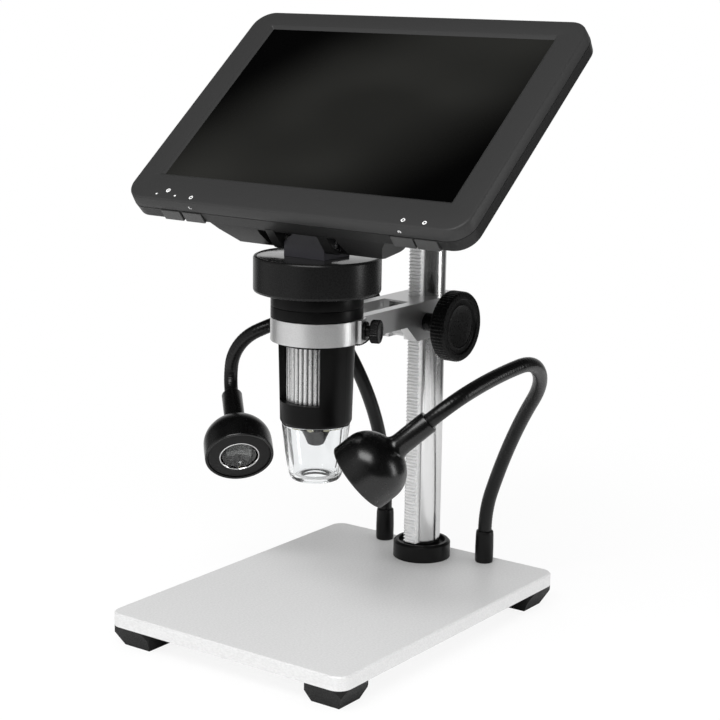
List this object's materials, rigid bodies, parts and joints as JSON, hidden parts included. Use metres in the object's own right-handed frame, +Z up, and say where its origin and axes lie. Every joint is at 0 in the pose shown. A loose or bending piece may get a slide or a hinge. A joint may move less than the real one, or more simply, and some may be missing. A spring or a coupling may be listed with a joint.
{
  "type": "lcd digital microscope",
  "caption": "Digital microscope with a tilting screen on its head, a rack-driven focus column on an aluminium stage plate, and gooseneck lamps with bell shades.",
  "frame": {"origin": "on the stage plate's top face where the optical axis meets it", "axes": "+Z up along the optical axis, +X to the right along the plate's front edge, +Y to the back, towards the column"},
  "size_m": [0.178, 0.168, 0.2693],
  "materials": {
    "plate_aluminium": "satin",
    "foot_black": "matt",
    "dark_screw": "dark",
    "column_steel": "polished",
    "rack_steel": "milled",
    "collar_black": "matt black",
    "arm_aluminium": "bead blasted with milled edges",
    "knob_black": "satin",
    "pad_brass": "turned",
    "head_black": "satin black",
    "wheel_black": "ribbed",
    "carrier_grey": "matt",
    "lens_glass": "clear",
    "board_green": "printed circuit",
    "board_white": "printed circuit",
    "led_white": "clear yellowish",
    "cap_clear": "clear moulded",
    "lid_gloss": "gloss",
    "bracket_dark": "matt powder coat",
    "bright_steel": "bright",
    "case_charcoal": "fine texture",
    "display_black": "glossy, switched off",
    "battery_grey": "wrapped cell",
    "button_charcoal": "satin",
    "neck_black": "ribbed, semi-gloss",
    "shade_black": "satin black",
    "insert_black": "matt",
    "reflector_chrome": "polished"
  },
  "bodies": {
    "stand": {"base_plate": "plate_aluminium", "foot_front_left": "foot_black", "foot_front_right": "foot_black", "foot_back_left": "foot_black", "foot_back_right": "foot_black", "foot_screws": "dark_screw", "column_rod": "column_steel", "column_rack": "rack_steel", "rack_screws": "dark_screw", "column_collar": "collar_black", "column_bolt": "dark_screw", "lamp_right_ferrule": "collar_black", "lamp_left_ferrule": "collar_black"},
    "carriage": {"focus_arm": "arm_aluminium", "clamp_pad": "pad_brass"},
    "pinion": {"pinion_shaft": "rack_steel", "focus_knob_right": "knob_black", "focus_knob_left": "knob_black"},
    "clamp_screw_body": {"clamp_screw": "knob_black"},
    "head": {"barrel_shell": "head_black", "wheel_retainer": "head_black", "sensor_board": "board_green", "lens_nose": "head_black", "led_ring_board": "board_white", "ring_leds": "led_white", "clear_cap": "cap_clear", "head_collar": "head_black", "head_housing": "head_black", "head_lid": "lid_gloss", "tilt_bracket": "bracket_dark", "bracket_screws": "bright_steel", "hinge_pin": "bright_steel"},
    "wheel": {"focus_wheel": "wheel_black"},
    "lens": {"lens_carrier": "carrier_grey", "objective_lens": "lens_glass"},
    "monitor": {"front_bezel": "case_charcoal", "back_cover": "case_charcoal", "lcd_panel": "display_black", "main_board": "board_green", "battery_cell": "battery_grey", "cover_screws": "dark_screw", "usb_socket": "bright_steel"},
    "key_outer_left": {"button_outer_left": "button_charcoal"},
    "key_inner_left": {"button_inner_left": "button_charcoal"},
    "key_inner_right": {"button_inner_right": "button_charcoal"},
    "key_outer_right": {"button_outer_right": "button_charcoal"},
    "lamp_right_low": {"lamp_right_neck_lower": "neck_black"},
    "lamp_right_mid": {"lamp_right_neck_middle": "neck_black"},
    "lamp_right_head": {"lamp_right_neck_upper": "neck_black", "lamp_right_shade": "shade_black", "lamp_right_insert": "insert_black", "lamp_right_reflector": "reflector_chrome", "lamp_right_lens": "lens_glass"},
    "lamp_left_low": {"lamp_left_neck_lower": "neck_black"},
    "lamp_left_mid": {"lamp_left_neck_middle": "neck_black"},
    "lamp_left_head": {"lamp_left_neck_upper": "neck_black", "lamp_left_shade": "shade_black", "lamp_left_insert": "insert_black", "lamp_left_reflector": "reflector_chrome", "lamp_left_lens": "lens_glass"}
  },
  "joints": [
    {"name": "focus_slide", "type": "slide", "parent": "stand", "child": "carriage", "axis": [0, 0, 1], "range_m": [-0.015, 0.045]},
    {"name": "pinion_turn", "type": "hinge", "parent": "carriage", "child": "pinion", "pos_m": [0, 0.0667, 0.118], "axis": [1, 0, 0], "range_deg": [-345, 116]},
    {"name": "head_turn", "type": "hinge", "parent": "carriage", "child": "head", "pos_m": [0, 0, 0.1225], "axis": [0, 0, 1], "range_deg": [-45, 45]},
    {"name": "clamp_screw_turn", "type": "hinge", "parent": "carriage", "child": "clamp_screw_body", "pos_m": [0.01879, 0.00684, 0.1238], "axis": [0.9397, 0.342, 0], "range_deg": [0, 360]},
    {"name": "monitor_tilt", "type": "hinge", "parent": "head", "child": "monitor", "pos_m": [0, -0.0067, 0.1625], "axis": [-1, 0, 0], "range_deg": [-36, 14]},
    {"name": "focus_wheel_turn", "type": "hinge", "parent": "head", "child": "wheel", "pos_m": [0, 0, 0.1], "axis": [0, 0, 1], "range_deg": [-150, 150]},
    {"name": "lens_slide", "type": "slide", "parent": "head", "child": "lens", "axis": [0, 0, 1], "range_m": [-0.0017, 0.0017]},
    {"name": "press_outer_left", "type": "slide", "parent": "monitor", "child": "key_outer_left", "axis": [0, 0.7776, 0.6288], "range_m": [0, 0.0008], "stiffness_N_per_m": 400, "springref_m": -0.0006},
    {"name": "press_inner_left", "type": "slide", "parent": "monitor", "child": "key_inner_left", "axis": [0, 0.7776, 0.6288], "range_m": [0, 0.0008], "stiffness_N_per_m": 400, "springref_m": -0.0006},
    {"name": "press_inner_right", "type": "slide", "parent": "monitor", "child": "key_inner_right", "axis": [0, 0.7776, 0.6288], "range_m": [0, 0.0008], "stiffness_N_per_m": 400, "springref_m": -0.0006},
    {"name": "press_outer_right", "type": "slide", "parent": "monitor", "child": "key_outer_right", "axis": [0, 0.7776, 0.6288], "range_m": [0, 0.0008], "stiffness_N_per_m": 400, "springref_m": -0.0006},
    {"name": "lamp_right_swing", "type": "hinge", "parent": "stand", "child": "lamp_right_low", "pos_m": [0.0288, 0.0953, 0.0155], "axis": [0, 0, -1], "range_deg": [-25, 3]},
    {"name": "lamp_right_bend", "type": "hinge", "parent": "lamp_right_low", "child": "lamp_right_mid", "pos_m": [0.06074, 0.08084, 0.08621], "axis": [-1, 0, 0], "range_deg": [-8, 12]},
    {"name": "lamp_right_tip", "type": "hinge", "parent": "lamp_right_mid", "child": "lamp_right_head", "pos_m": [0.07433, 0.04472, 0.10953], "axis": [-1, 0, 0], "range_deg": [-8.5, 12.5]},
    {"name": "lamp_left_swing", "type": "hinge", "parent": "stand", "child": "lamp_left_low", "pos_m": [-0.0288, 0.0953, 0.0155], "axis": [0, 0, 1], "range_deg": [-20, 5]},
    {"name": "lamp_left_bend", "type": "hinge", "parent": "lamp_left_low", "child": "lamp_left_mid", "pos_m": [-0.03914, 0.07459, 0.09832], "axis": [-1, 0, 0], "range_deg": [-8, 12]},
    {"name": "lamp_left_tip", "type": "hinge", "parent": "lamp_left_mid", "child": "lamp_left_head", "pos_m": [-0.06431, 0.0383, 0.10821], "axis": [-1, 0, 0], "range_deg": [-8.5, 12.5]}
  ],
  "couplings": [
    {"joint": "pinion_turn", "follows": "focus_slide", "rad_per_m": -133.33},
    {"joint": "lens_slide", "follows": "focus_wheel_turn", "m_per_rad": 0.00063662},
    {"joint": "lamp_right_tip", "follows": "lamp_right_bend", "ratio": 1},
    {"joint": "lamp_left_tip", "follows": "lamp_left_bend", "ratio": 1}
  ]
}
